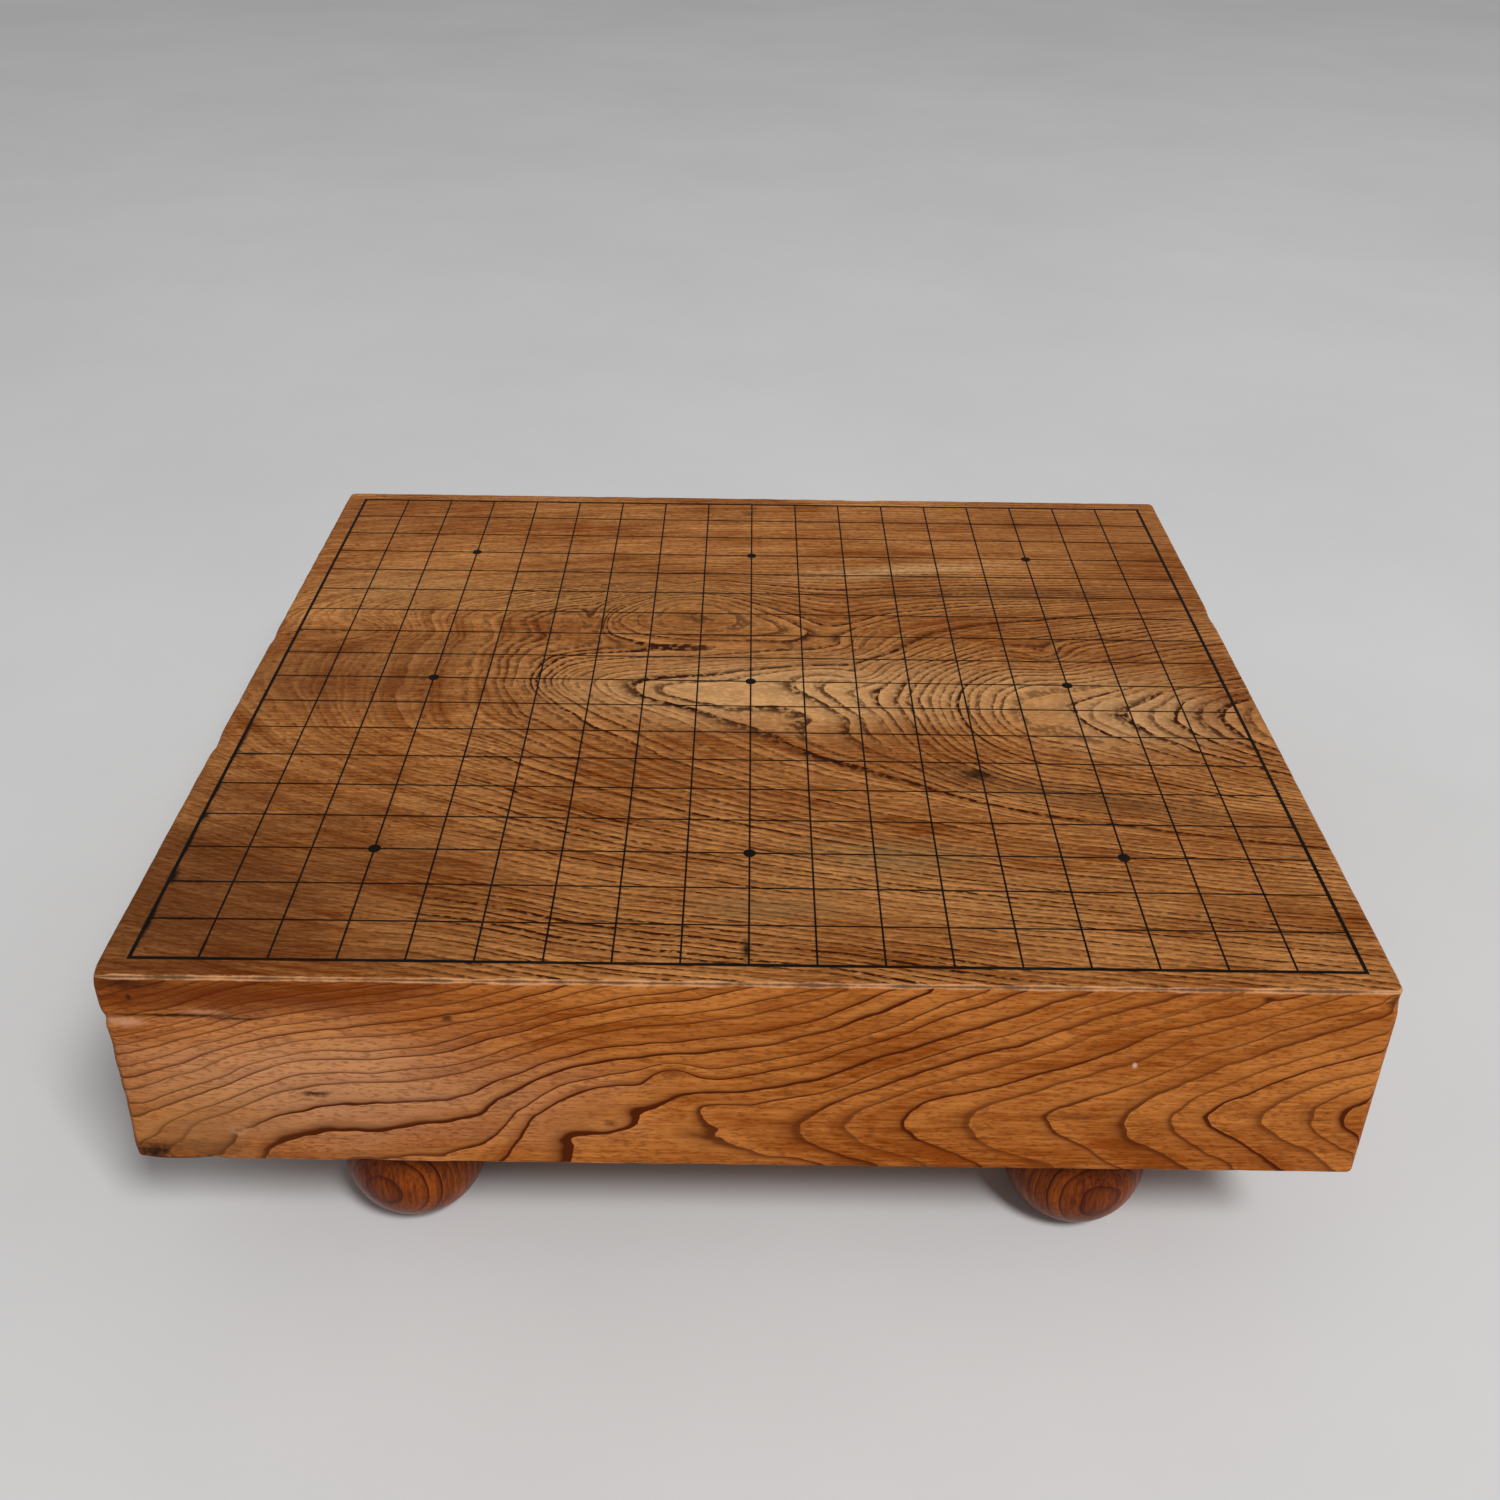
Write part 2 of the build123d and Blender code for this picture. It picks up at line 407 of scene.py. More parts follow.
@dataclass(frozen=True)
class Onset:
    """Something that grows along a direction, from nothing to its whole strength."""

    way: Vector3
    start: float        # mm from the middle of the playing surface
    whole: float
    reach: float = 50.0     # mm over which it grows

    def grow(self, tree: Tree, place: Socket) -> Socket:
        """How strong it is at a place.

        Args:
            tree: the material's node tree.
            place: millimetres from the middle of the playing surface.

        Returns:
            Its strength.
        """
        far = add(tree, "VectorMath", {0: place, 1: self.way}, "Value", operation="DOT_PRODUCT")
        return add(tree, "MapRange", {
            "Value": far, "From Min": self.start, "From Max": self.start + self.reach, "To Max": self.whole,
        }, interpolation_type="SMOOTHSTEP")


# darkness by how far through its ring a place is
YEAR_LINE = (
    (0.0, 0.85), (0.012, 1.0), (0.05, 0.95), (0.095, 0.5), (0.18, 0.20), (0.28, 0.12), (0.55, 0.04),
    (0.94, 0.14), (1.0, 0.80),
)
YEAR_PORES = ((0.0, 1.0), (0.30, 0.75), (0.7, 0.35), (1.0, 0.5))


@dataclass(frozen=True)
class Tones:
    """The three tones of one surface of the wood."""

    middle: str
    light: str
    dark: str


@dataclass(frozen=True)
class Zelkova:
    """Zelkova, a ring-porous hardwood, sawn, planed and oiled.

    Each year's coarse pores make a thin dark line on any face. The line is sharp on its inner side and
    fades outwards, and short pore dashes lie along the grain.
    """

    name: str
    growth: Growth
    surface: Tones              # level faces, which light and hands have dulled
    sides: Tones                # upright faces, where the oil kept its colour
    roughness: float
    gloss: float = 0.2
    stains: tuple[Stain, ...] = ()
    grain_upright: bool = False
    calms: tuple[Onset, ...] = ()       # where the lines of the level faces grow faint
    doubles: tuple[Onset, ...] = ()     # where they have others between them
    worn: bool = False          # the piece has an attribute that says where its edges are rubbed, and where a highlight is painted
    # pale of the rubbed edges, and of the painted highlight along the upper front edge
    rubbed_and_highlight_tone: str = "#CC9468"
    grime_tone: str = "#2B180C"
    # sizes of the patterns in mm, along the grain and across it
    cloud: Vector3 = (90.9, 35.7, 35.7)         # broad changes of tone
    streak: Vector3 = (20.0, 1.25, 1.25)        # fine streaks of tone
    fade: Vector3 = (83.3, 33.3, 33.3)          # stretches where a year line is fainter
    polish: Vector3 = (50.0, 25.0, 25.0)        # patches with more or less gloss
    wide_rag: Vector3 = (50.0, 16.67, 16.67)    # unevenness in the edge of a wide stain
    fine_rag: Vector3 = (2.381, 2.381, 2.381)   # and of a small one
    pale: float = 14.29                         # patches where an edge is rubbed pale, or where the upper front edge has its painted highlight
    grime: float = 20.0                         # patches of dirt along an edge

    def build(self) -> bpy.types.Material:
        """Writes the material.

        Returns:
            The finished material.
        """
        material, tree = new_material(self.name)
        place = self.place(tree)
        count = self.growth.rings(tree, place)
        phase = add(tree, "Math", {0: count}, operation="FRACT")
        year = add(tree, "Math", {0: count}, operation="FLOOR")
        normal = add(tree, "TexCoord", out="Normal")
        facing = add(tree, "SeparateXYZ", {0: normal}, 2)
        side = add(tree, "MapRange", {"Value": facing, "From Min": 0.75, "From Max": 0.35})
        dashes = self.dashes(tree, place, count)
        line = self.line(tree, place, phase, year, side, dashes)
        pores = self.pores(tree, place, phase, side, dashes)
        colour = self.colour(tree, place, count, line, pores, side)
        self.shade(tree, place, colour, line, pores)
        return material

    def place(self, tree: Tree) -> Socket:
        """Sets the wood's own place, with the grain along X.

        Args:
            tree: the material's node tree.

        Returns:
            Millimetres from the middle of the playing surface.
        """
        coordinates = add(tree, "TexCoord", out="Object")
        level = add(tree, "VectorMath", {0: coordinates, 1: (1 / MM, 1 / MM, 1 / MM), 2: (0, 0, -TOP / MM)},
                    operation="MULTIPLY_ADD")
        if not self.grain_upright:
            return level
        return add(tree, "Mapping", {"Vector": level, "Rotation": (0, math.radians(90), 0)})

    def dashes(self, tree: Tree, place: Socket, count: Socket) -> Socket:
        """Draws noise out along the year lines, for pores that are cut lengthwise.

        They are about 3 mm long and, so that they show, twice their real width of 0.3 mm.

        Args:
            tree: the material's node tree.
            place: millimetres from the middle of the playing surface.
            count: the ring count.

        Returns:
            The noise.
        """
        along = add(tree, "VectorMath", {0: place, "Scale": 0.34}, operation="SCALE")
        across = add(tree, "Math", {0: count, 1: 2.3}, operation="MULTIPLY")
        return add(tree, "TexNoise", {"Vector": along, "W": across, "Scale": 1.0, "Detail": 1.0,
                                      "Roughness": 0.5}, noise_dimensions="4D")

    def line(self, tree: Tree, place: Socket, phase: Socket, year: Socket, side: Socket,
             dashes: Socket) -> Socket:
        """Draws the year lines, uneven from year to year and along their length.

        Args:
            tree: the material's node tree.
            place: millimetres from the middle of the playing surface.
            phase: how far a place is through its ring.
            year: which ring it is in.
            side: 1 on an upright face, 0 on a level one.
            dashes: the noise that breaks the lines up.

        Returns:
            Their darkness.
        """
        level = add(tree, "Math", {0: 1.0, 1: side}, operation="SUBTRACT")
        narrow = add(tree, "MapRange", {"Value": side, "To Min": 0.21, "To Max": 0.6})
        doubled = None
        for onset in self.doubles:
            grown = add(tree, "Math", {0: onset.grow(tree, place), 1: level}, operation="MULTIPLY")
            doubled = grown if doubled is None else add(tree, "Math", {0: doubled, 1: grown},
                                                        operation="MAXIMUM")
        if doubled:
            narrow = add(tree, "Math", {0: doubled, 1: 0.14, 2: narrow}, operation="MULTIPLY_ADD")
        edges = []
        for offset in (0.0, 0.5) if doubled else (0.0,):
            shifted = add(tree, "Math", {0: phase, 1: offset}, operation="ADD")
            shifted = add(tree, "Math", {0: shifted}, operation="FRACT")
            across = add(tree, "Math", {0: shifted, 1: narrow}, operation="MULTIPLY")
            edges.append(add(tree, "ValToRGB", {"Fac": across}, stops=greys(YEAR_LINE)))
        edge = edges[0]
        if doubled:
            between = add(tree, "Math", {0: edges[1], 1: doubled}, operation="MULTIPLY")
            edge = add(tree, "Math", {0: edge, 1: between}, operation="MAXIMUM")
        luck = add(tree, "TexWhiteNoise", {"W": year}, "Value", noise_dimensions="1D")
        strength = add(tree, "MapRange", {"Value": luck, "To Min": 0.72, "To Max": 1.18})
        along = add(tree, "VectorMath", {0: place, 1: self.fade}, operation="DIVIDE")
        fade = add(tree, "TexNoise", {"Vector": along, "Scale": 1.0, "Detail": 2.0})
        faded = add(tree, "MapRange", {"Value": fade, "From Min": 0.35, "From Max": 0.55, "To Min": 0.75})
        gaps = add(tree, "MapRange", {"Value": side, "To Min": 0.5})
        broken = add(tree, "MapRange", {"Value": dashes, "From Min": 0.38, "From Max": 0.52, "To Min": gaps})
        uneven = add(tree, "Math", {0: strength, 1: faded}, operation="MULTIPLY")
        uneven = add(tree, "Math", {0: uneven, 1: broken}, operation="MULTIPLY")
        for onset in self.calms:
            loss = add(tree, "Math", {0: onset.grow(tree, place), 1: level}, operation="MULTIPLY")
            kept = add(tree, "Math", {0: 1.0, 1: loss}, operation="SUBTRACT")
            uneven = add(tree, "Math", {0: uneven, 1: kept}, operation="MULTIPLY")
        return add(tree, "Math", {0: edge, 1: uneven}, operation="MULTIPLY")

    def pores(self, tree: Tree, place: Socket, phase: Socket, side: Socket, dashes: Socket) -> Socket:
        """Draws dark pore dashes along the year lines of the level faces, and finer flecks between them.

        The flecks are drawn about 3 mm by 0.9 mm, coarser than the real ones, so that they show.

        Args:
            tree: the material's node tree.
            place: millimetres from the middle of the playing surface.
            phase: how far a place is through its ring.
            side: 1 on an upright face, 0 on a level one.
            dashes: the noise along the year lines.

        Returns:
            Their darkness.
        """
        most = add(tree, "MapRange", {"Value": side, "To Min": 0.9, "To Max": 0.0})
        dash = add(tree, "MapRange", {"Value": dashes, "From Min": 0.54, "From Max": 0.63, "To Max": most})
        early = add(tree, "ValToRGB", {"Fac": phase}, stops=greys(YEAR_PORES))
        coarse = add(tree, "Math", {0: dash, 1: early}, operation="MULTIPLY")
        turned = add(tree, "Mapping", {"Vector": place, "Rotation": (0, math.radians(9), math.radians(6)),
                                       "Scale": (0.30, 1.15, 1.15)})
        grain = add(tree, "TexNoise", {"Vector": turned, "Scale": 1.0, "Detail": 1.0, "Roughness": 0.6})
        fleck = add(tree, "MapRange", {"Value": grain, "From Min": 0.50, "From Max": 0.62, "To Max": 0.52})
        return add(tree, "Math", {0: coarse, 1: fleck}, operation="MAXIMUM")

    def colour(self, tree: Tree, place: Socket, count: Socket, line: Socket, pores: Socket,
               side: Socket) -> Socket:
        """Mixes the three tones, on the playing surface and on the sides, and lays the stains on.

        Args:
            tree: the material's node tree.
            place: millimetres from the middle of the playing surface.
            count: the ring count.
            line: darkness of the year lines.
            pores: darkness of the pores.
            side: 1 on an upright face, 0 on a level one.

        Returns:
            The wood's colour.
        """
        broad = add(tree, "VectorMath", {0: place, 1: self.cloud}, operation="DIVIDE")
        cloud = add(tree, "TexNoise", {"Vector": broad, "Scale": 1.0, "Detail": 4.0, "Roughness": 0.55})
        thin = add(tree, "VectorMath", {0: place, 1: self.streak}, operation="DIVIDE")
        streak = add(tree, "TexNoise", {"Vector": thin, "Scale": 1.0, "Detail": 3.0, "Roughness": 0.7})
        years = add(tree, "TexNoise", {"W": count, "Scale": 0.9, "Detail": 3.0, "Roughness": 0.6},
                    noise_dimensions="1D")
        both = add(tree, "Math", {0: streak, 1: cloud}, operation="ADD")
        both = add(tree, "Math", {0: years, 1: 0.6, 2: both}, operation="MULTIPLY_ADD")
        lightness = add(tree, "MapRange", {"Value": both, "From Min": 1.05, "From Max": 1.55})
        middle, light, dark = (
            add(tree, "Mix", {0: side, MIX_A: linear(getattr(self.surface, tone)),
                              MIX_B: linear(getattr(self.sides, tone))}, MIX_COLOUR, data_type="RGBA")
            for tone in ("middle", "light", "dark")
        )
        wood = add(tree, "Mix", {0: lightness, MIX_A: middle, MIX_B: light}, MIX_COLOUR, data_type="RGBA")
        ragged = {}
        for small, size in ((True, self.fine_rag), (False, self.wide_rag)):
            spread = add(tree, "VectorMath", {0: place, 1: size}, operation="DIVIDE")
            ragged[small] = add(tree, "TexNoise", {"Vector": spread, "Scale": 1.0, "Detail": 4.0,
                                                   "Roughness": 0.6})
        for stain in self.stains:
            if stain.under:
                wood = stain.lay(tree, place, ragged, wood)
        pored = add(tree, "Math", {0: pores, 1: 0.85}, operation="MULTIPLY")
        marks = add(tree, "Math", {0: line, 1: pored, 2: 0.2}, operation="SMOOTH_MAX")
        wood = add(tree, "Mix", {0: marks, MIX_A: wood, MIX_B: dark}, MIX_COLOUR, data_type="RGBA")
        for stain in self.stains:
            if not stain.under:
                wood = stain.lay(tree, place, ragged, wood)
        return self.wear(tree, place, wood) if self.worn else wood

    def wear(self, tree: Tree, place: Socket, wood: Socket) -> Socket:
        """Rubs the edges pale, lays a painted highlight of the same pale along the upper front edge, and leaves
        grime in patches.

        Args:
            tree: the material's node tree.
            place: millimetres from the middle of the playing surface.
            wood: the colour below.

        Returns:
            The worn colour.
        """
        # the attribute is rubbed wear, raised on the upper front edge into a painted highlight
        rubbed = add(tree, "Attribute", out="Fac", attribute_name=RUB_AND_HIGHLIGHT, attribute_type="GEOMETRY")
        patchy = add(tree, "TexNoise", {"Vector": place, "Scale": 1 / self.pale, "Detail": 5.0,
                                        "Roughness": 0.65})
        spread = add(tree, "Math", {0: patchy, 1: rubbed}, operation="ADD")
        pale = add(tree, "MapRange", {"Value": spread, "From Min": 1.22, "From Max": 1.42, "To Max": 0.8})
        wood = add(tree, "Mix", {0: pale, MIX_A: wood, MIX_B: linear(self.rubbed_and_highlight_tone)}, MIX_COLOUR,
                   data_type="RGBA")
        shifted = add(tree, "VectorMath", {0: place, 1: (31.0, 7.0, 3.0)}, operation="ADD")
        dirty = add(tree, "TexNoise", {"Vector": shifted, "Scale": 1 / self.grime, "Detail": 6.0,
                                       "Roughness": 0.7})
        spread = add(tree, "Math", {0: dirty, 1: rubbed}, operation="ADD")
        grime = add(tree, "MapRange", {"Value": spread, "From Min": 1.38, "From Max": 1.6, "To Max": 0.8})
        return add(tree, "Mix", {0: grime, MIX_A: wood, MIX_B: linear(self.grime_tone)}, MIX_COLOUR,
                   data_type="RGBA")

    def shade(self, tree: Tree, place: Socket, colour: Socket, line: Socket, pores: Socket) -> None:
        """Joins colour, gloss and relief into the surface.

        Args:
            tree: the material's node tree.
            place: millimetres from the middle of the playing surface.
            colour: the wood's colour.
            line: darkness of the year lines, which lie a little deeper.
            pores: darkness of the pores, which lie deeper.
        """
        depth = add(tree, "Math", {0: line, 1: 0.4, 2: pores}, operation="MULTIPLY_ADD")
        relief = add(tree, "Bump", {"Height": depth, "Strength": 0.35, "Distance": 0.06 * MM}, invert=True)
        spread = add(tree, "VectorMath", {0: place, 1: self.polish}, operation="DIVIDE")
        wear = add(tree, "TexNoise", {"Vector": spread, "Scale": 1.0, "Detail": 5.0})
        rough = add(tree, "MapRange", {
            "Value": wear, "From Min": 0.3, "From Max": 0.7,
            "To Min": self.roughness - 0.07, "To Max": self.roughness + 0.09,
        })
        shader = add(tree, "BsdfPrincipled", {
            "Base Color": colour, "Roughness": rough, "Normal": relief, "IOR": 1.5,
            "Specular IOR Level": self.gloss,
        })
        add(tree, "OutputMaterial", {"Surface": shader}, out=None)


@dataclass(frozen=True)
class Lacquer:
    """Black lacquer, drawn on in thin raised lines. It dries glossy, and rubs brown where it is thin."""

    name: str = "black_lacquer"
    full: str = "#0D0A08"
    thin: str = "#2E1A0C"
    roughness: float = 0.5

    def build(self) -> bpy.types.Material:
        """Writes the material.

        Returns:
            The finished material.
        """
        material, tree = new_material(self.name)
        coordinates = add(tree, "TexCoord", out="Object")
        place = add(tree, "VectorMath", {0: coordinates, "Scale": 1 / MM}, operation="SCALE")
        patchy = add(tree, "TexNoise", {"Vector": place, "Scale": 0.045, "Detail": 6.0, "Roughness": 0.7})
        rubbed = add(tree, "MapRange", {"Value": patchy, "From Min": 0.5, "From Max": 0.72, "To Max": 0.7})
        colour = add(tree, "Mix", {0: rubbed, MIX_A: linear(self.full), MIX_B: linear(self.thin)}, MIX_COLOUR,
                     data_type="RGBA")
        rough = add(tree, "MapRange", {"Value": rubbed, "To Min": self.roughness, "To Max": 0.6})
        grain = add(tree, "TexNoise", {"Vector": place, "Scale": 0.9, "Detail": 3.0})
        relief = add(tree, "Bump", {"Height": grain, "Strength": 0.3, "Distance": 0.05 * MM})
        shader = add(tree, "BsdfPrincipled", {
            "Base Color": colour, "Roughness": rough, "Normal": relief, "IOR": 1.5,
            "Specular IOR Level": 0.06,
        })
        add(tree, "OutputMaterial", {"Surface": shader}, out=None)
        return material


@dataclass(frozen=True)
class Concrete:
    """Pale painted concrete, with only a breath of unevenness."""

    name: str = "painted_concrete"
    colour: str = "#CECECE"
    roughness: float = 0.75

    def build(self) -> bpy.types.Material:
        """Writes the material.

        Returns:
            The finished material.
        """
        material, tree = new_material(self.name)
        place = add(tree, "TexCoord", out="Object")
        cloud = add(tree, "TexNoise", {"Vector": place, "Scale": 2.5, "Detail": 6.0, "Roughness": 0.6})
        shift = add(tree, "MapRange", {"Value": cloud, "From Min": 0.3, "From Max": 0.7, "To Min": 0.96,
                                       "To Max": 1.04})
        colour = add(tree, "VectorMath", {0: linear(self.colour)[:3], "Scale": shift}, operation="SCALE")
        shader = add(tree, "BsdfPrincipled", {"Base Color": colour, "Roughness": self.roughness,
                                              "Specular IOR Level": 0.2})
        add(tree, "OutputMaterial", {"Surface": shader}, out=None)
        return material


class Pick(Enum):
    """Which parts of a mesh an edit picks."""

    EDGES = "EDGE"
    FACES = "FACE"


def alone(piece: bpy.types.Object) -> None:
    """Makes one object the active and only selected one.

    Args:
        piece: the object.
    """
    bpy.ops.object.select_all(action="DESELECT")
    piece.select_set(True)
    bpy.context.view_layer.objects.active = piece


def edit(piece: bpy.types.Object) -> None:
    """Opens one object, alone, in edit mode."""
    alone(piece)
    bpy.ops.object.mode_set(mode="EDIT")


def leave() -> None:
    """Goes back to object mode."""
    bpy.ops.object.mode_set(mode="OBJECT")


def pick(piece: bpy.types.Object, kind: Pick, test: Callable[..., bool]) -> None:
    """Selects the parts of the mesh being edited that pass a test.

    Args:
        piece: the object in edit mode.
        kind: edges or faces.
        test: takes one part of the edit mesh.
    """
    bpy.ops.mesh.select_mode(type=kind.value)
    bpy.ops.mesh.select_all(action="DESELECT")
    mesh = bmesh.from_edit_mesh(piece.data)
    passed = [part for part in (mesh.edges if kind is Pick.EDGES else mesh.faces) if test(part)]
    for part in passed:
        part.select_set(True)
    mesh.select_flush_mode()
    bmesh.update_edit_mesh(piece.data)


def middle_of(edge: bmesh.types.BMEdge) -> Vector:
    """The middle of an edge."""
    return (edge.verts[0].co + edge.verts[1].co) / 2


def runs_along(edge: bmesh.types.BMEdge, axis: int, at_least: float = 0.0) -> bool:
    """True for an edge parallel to an axis, and at least so long."""
    span = edge.verts[1].co - edge.verts[0].co
    return abs(span[axis]) > 0.999 * span.length and span.length > at_least


def apply_modifier(piece: bpy.types.Object, name: str, kind: str, **settings) -> None:
    """Adds a modifier and applies it.

    Args:
        piece: the object that gets it.
        name: the modifier's name.
        kind: Blender's name for the kind of modifier.
        **settings: the modifier's own properties.
    """
    alone(piece)
    modifier = piece.modifiers.new(name, kind)
    for key, value in settings.items():
        setattr(modifier, key, value)
    bpy.ops.object.modifier_apply(modifier=name)


def settle(piece: bpy.types.Object) -> None:
    """Applies a piece's place, turn and scale to its mesh."""
    alone(piece)
    bpy.ops.object.transform_apply(location=True, rotation=True, scale=True)


def dress(piece: bpy.types.Object, material: bpy.types.Material) -> None:
    """Gives a piece one material and nothing else."""
    piece.data.materials.clear()
    piece.data.materials.append(material)


@dataclass(frozen=True)
class Scar:
    """A dent, nick or chip, in millimetres from the middle of the playing surface."""

    at: Vector3
    reach: Vector3
    depth: float
    fade_out: float = 6.0       # squared, in its own reach, where nothing of it is left

    def sink(self, spot: Vector) -> float:
        """How deep the scar is at a place.

        Args:
            spot: millimetres from the middle of the playing surface.

        Returns:
            The depth in millimetres.
        """
        gap = sum(((spot[i] - self.at[i]) / self.reach[i]) ** 2 for i in range(3))
        return self.depth * math.exp(-gap) if gap < self.fade_out else 0.0


SCARS = (
    # the split at the left front corner, where the wood below the crack is chipped back
    Scar((-224, -208, -20), (7, 7, 2.4), 1.1),
    Scar((-224, -208, -28), (6, 6, 9), 0.8),
    Scar((-224, -208, -46), (6, 6, 14), 0.8),
    Scar((-224, -208, -66), (6, 6, 12), 0.5),
    Scar((-224, -208, -57), (3, 3, 2.4), 0.5),
    Scar((-200, -208, -18), (22, 6, 1.5), 0.45),
    Scar((-154, -208, -54), (6, 6, 1.8), 0.6),
    Scar((-184, -208, -72), (3.4, 6, 2.2), 0.6),
    Scar((-104, -208, -17), (2.4, 6, 2.2), 0.4),
    Scar((-221, -208, -86), (4, 4, 3), 0.8),
    Scar((-196, -208, -87), (4, 4, 2.2), 0.9),
    Scar((-172, -208, -87), (3, 4, 2.0), 0.8),
    Scar((-140, -208, -87), (4, 4, 2.0), 0.7),
    # nicks along the upper front edge and a chip out of its right end
    Scar((223, -208, -5), (3, 3, 4.2), 1.6),
    Scar((140, -208, -0.5), (2.4, 3, 2.4), 0.9),
    Scar((178, -208, -3.5), (3, 3, 1.6), 0.5),
    Scar((-96, -208, -1), (3, 3, 2), 0.6),
    Scar((-30, -208, -1), (5, 3, 1.6), 0.5),
    Scar((64, -208, -1), (4, 3, 1.6), 0.5),
    Scar((-222, -206, -1), (4, 4, 3), 0.9),
    # knocks on the other edges
    Scar((-224, -58, 0), (3, 5, 3), 0.9),
    Scar((-224, 36, -1), (3, 4, 3), 0.7),
    Scar((224, 70, -1), (3, 6, 3), 0.9),
    Scar((60, 208, -1), (7, 3, 3), 0.8),
    Scar((-150, 208, -60), (6, 5, 4), 0.5),
    Scar((224, 208, -70), (5, 5, 9), 1.2),
)


@dataclass
class Block:
    """The wooden block: rounded corners, worn edges, four mortises and the hollow in its underside."""

    corner_radius: float = 3.0 * MM
    top_edge: float = 1.6 * MM
    bottom_edge: float = 1.2 * MM
    # from the eased edge inwards, together less than is left there of the corner radius
    loops: tuple[float, ...] = (0.5 * MM, 0.7 * MM)
    step: float = 2.2 * MM              # between the cuts along each edge
    worn_width: float = 3.6             # mm in from an edge that hands and knocks reach
    level_from: float = 2.35            # mm in from an edge that hands and knocks reach, and the width of the upper front edge's painted highlight
    level_fade: float = 0.7             # mm over which the wear of a level face's rim dies away to there
    flat_from: float = 4.0              # mm in from an edge, where the plane's waves are whole
    rub_and_highlight_front: float = 1.3              # how rubbed the upper front edge is; the part above the other edges is a painted highlight
    rub_others: float = 0.92            # and every other edge
    front_highlight_reach: float = 3.0 * MM         # how far the upper front edge with its painted highlight goes
    hollow_size: float = 9.0 * MM       # of the small hollows along the edges
    wave_size: float = 60.0 * MM        # of the plane's waves in the upright faces
    wave_depth: float = 0.12            # mm
    mortise_radius: float = 15.05 * MM
    mortise_depth: float = 30.0 * MM
    mouth_chamfer: float = 1.0 * MM
    hollow_side: float = 84.0 * MM
    hollow_depth: float = 24.0 * MM
    pyramid_sink: float = 3.0 * MM
    pyramid_top_side: float = 5.0 * MM
    pyramid_foot_gap: float = 1.5 * MM
    facets: int = 64

    def build(self, material: bpy.types.Material, places: list[Vector]) -> bpy.types.Object:
        """Builds the block.

        Args:
            material: the oiled wood.
            places: the middle of each foot.

        Returns:
            The finished block, riding on the board's body.
        """
        block = self.blank()
        self.wear(block)
        cutters = [self.hollow_cutter(), *(self.mortise_cutter(place) for place in places)]
        alone(cutters[0])
        for cutter in cutters:
            cutter.select_set(True)
        bpy.ops.object.join()
        apply_modifier(block, "cut", "BOOLEAN", object=cutters[0], operation="DIFFERENCE", solver="EXACT")
        bpy.data.objects.remove(cutters[0])
        alone(block)
        bpy.ops.object.shade_smooth_by_angle(angle=CREASE)
        apply_modifier(block, "flatten", "WEIGHTED_NORMAL", weight=80, keep_sharp=True)
        dress(block, material)
        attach(block, "board")
        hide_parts("board_block")
        return block

    def blank(self) -> bpy.types.Object:
        """Makes the bevelled block, with all but its level faces cut finely enough to wear.

        Returns:
            The block, closed and with no cut-outs.
        """
        size = BLOCK_HIGH - BLOCK_LOW
        bpy.ops.object.select_all(action="DESELECT")
        bpy.ops.mesh.primitive_cube_add(size=1, location=(BLOCK_HIGH + BLOCK_LOW) / 2)
        block = bpy.context.object
        block.name = "oiled_block"
        block.scale = size
        settle(block)
        edit(block)
        pick(block, Pick.EDGES, lambda e: runs_along(e, 2))
        bpy.ops.mesh.bevel(offset=self.corner_radius, segments=5)
        for height, radius in ((BLOCK_HIGH.z, self.top_edge), (BLOCK_LOW.z, self.bottom_edge)):
            pick(block, Pick.EDGES, lambda e: all(abs(v.co.z - height) < SAME for v in e.verts))
            bpy.ops.mesh.bevel(offset=radius, segments=4)
            for depth in self.loops:
                pick(block, Pick.FACES, lambda f: abs(f.calc_center_median().z - height) < SAME
                     and f.calc_area() > size.x * size.y / 2)
                bpy.ops.mesh.inset(thickness=depth)
        pick(block, Pick.FACES, lambda f: f.calc_area() > size.x * size.y / 2)
        bpy.ops.mesh.delete(type="ONLY_FACE")
        for axis in range(3):
            long = 0.6 * size[axis]
            pick(block, Pick.EDGES, lambda e: runs_along(e, axis, long))
            bpy.ops.mesh.subdivide(number_cuts=int(size[axis] / self.step) - 1)
        for height in (BLOCK_HIGH.z, BLOCK_LOW.z):
            pick(block, Pick.EDGES, lambda e: e.is_boundary and abs(middle_of(e).z - height) < SAME)
            bpy.ops.mesh.edge_face_add()
        leave()
        return block

    def wear(self, block: bpy.types.Object) -> None:
        """Sinks the faces and edges a little, unevenly, and notes how rubbed each corner of the mesh is, with a
        painted highlight along the upper front edge.

        Args:
            block: the block.
        """
        rubbed = block.data.attributes.new(RUB_AND_HIGHLIGHT, "FLOAT", "POINT")
        worn = []
        for vertex in block.data.vertices:
            spot = vertex.co
            near = sorted(min(spot[i] - BLOCK_LOW[i], BLOCK_HIGH[i] - spot[i]) / MM for i in range(3))
            edge = max(0.0, 1.0 - near[1] / self.worn_width)
